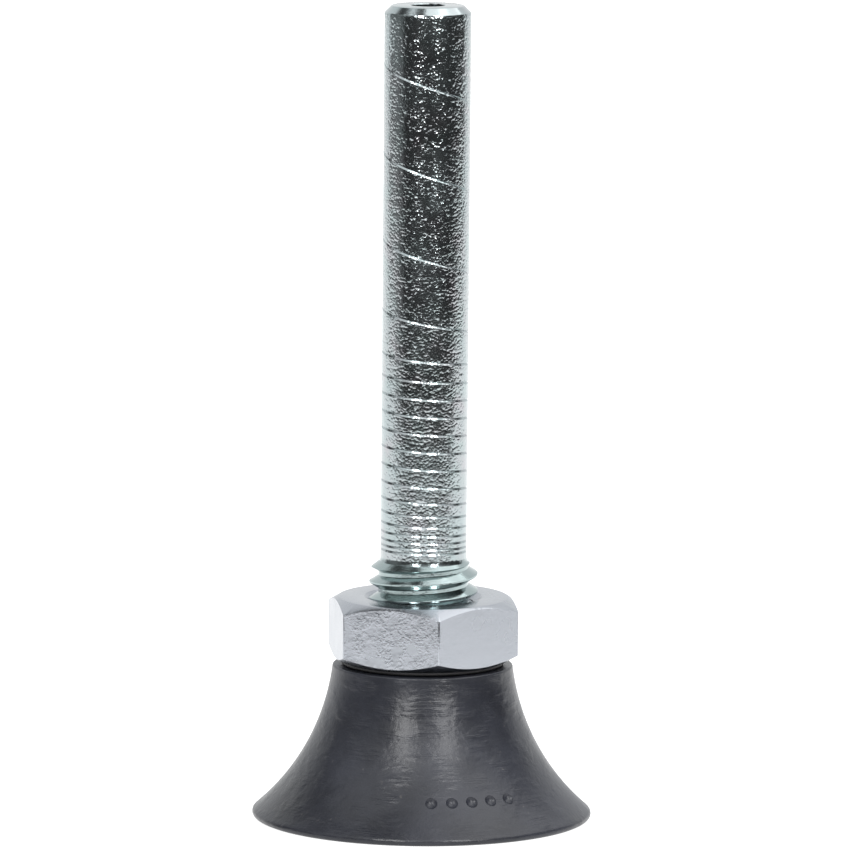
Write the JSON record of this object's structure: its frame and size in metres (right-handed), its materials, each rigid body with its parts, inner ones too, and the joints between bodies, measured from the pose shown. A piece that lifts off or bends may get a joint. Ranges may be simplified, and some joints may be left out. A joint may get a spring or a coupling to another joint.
{
  "type": "vacuum suction cup",
  "caption": "Bell-shaped rubber suction cup on a hollow round steel stem, screwed into a bonded bush and locked by a hexagon nut.",
  "frame": {"origin": "centre of the lip, on the plane of the work that the cup seals on", "axes": "+Z along the stem, from the lip up to the stem's free end"},
  "size_m": [0.025, 0.025, 0.06],
  "materials": {
    "rubber": "satin moulded nitrile rubber, charcoal",
    "seal_rubber": "smooth black sealing rubber",
    "zinc_stem": "bright blue zinc plate over a turned, grainy shank",
    "zinc_nut": "pale zinc plate, finely pitted",
    "steel_insert": "plain turned steel",
    "screen_wire": "woven stainless wire",
    "ring_wire": "oiled spring steel"
  },
  "bodies": {
    "bell": {"cup": "rubber"},
    "hub": {"insert": "steel_insert", "stem": "zinc_stem", "end_gasket": "seal_rubber", "screen": "screen_wire", "screen_ring": "ring_wire"},
    "washer": {"seal_washer": "seal_rubber"},
    "nut": {"lock_nut": "zinc_nut"}
  },
  "joints": [
    {"name": "cup_press", "type": "slide", "parent": "bell", "child": "hub", "axis": [0, 0, -1], "range_m": [0, 0.0025], "stiffness_N_per_m": 1500, "springref_m": -0.0003, "deforming": ["cup"]},
    {"name": "nut_lift", "type": "slide", "parent": "hub", "child": "washer", "axis": [0, 0, 1], "range_m": [0, 0.00594]},
    {"name": "nut_turn", "type": "hinge", "parent": "washer", "child": "nut", "pos_m": [0, 0, 0.0117], "axis": [0, 0, 1], "range_deg": [0, 1711]}
  ],
  "couplings": [
    {"joint": "nut_turn", "follows": "nut_lift", "rad_per_m": 5026.5}
  ]
}
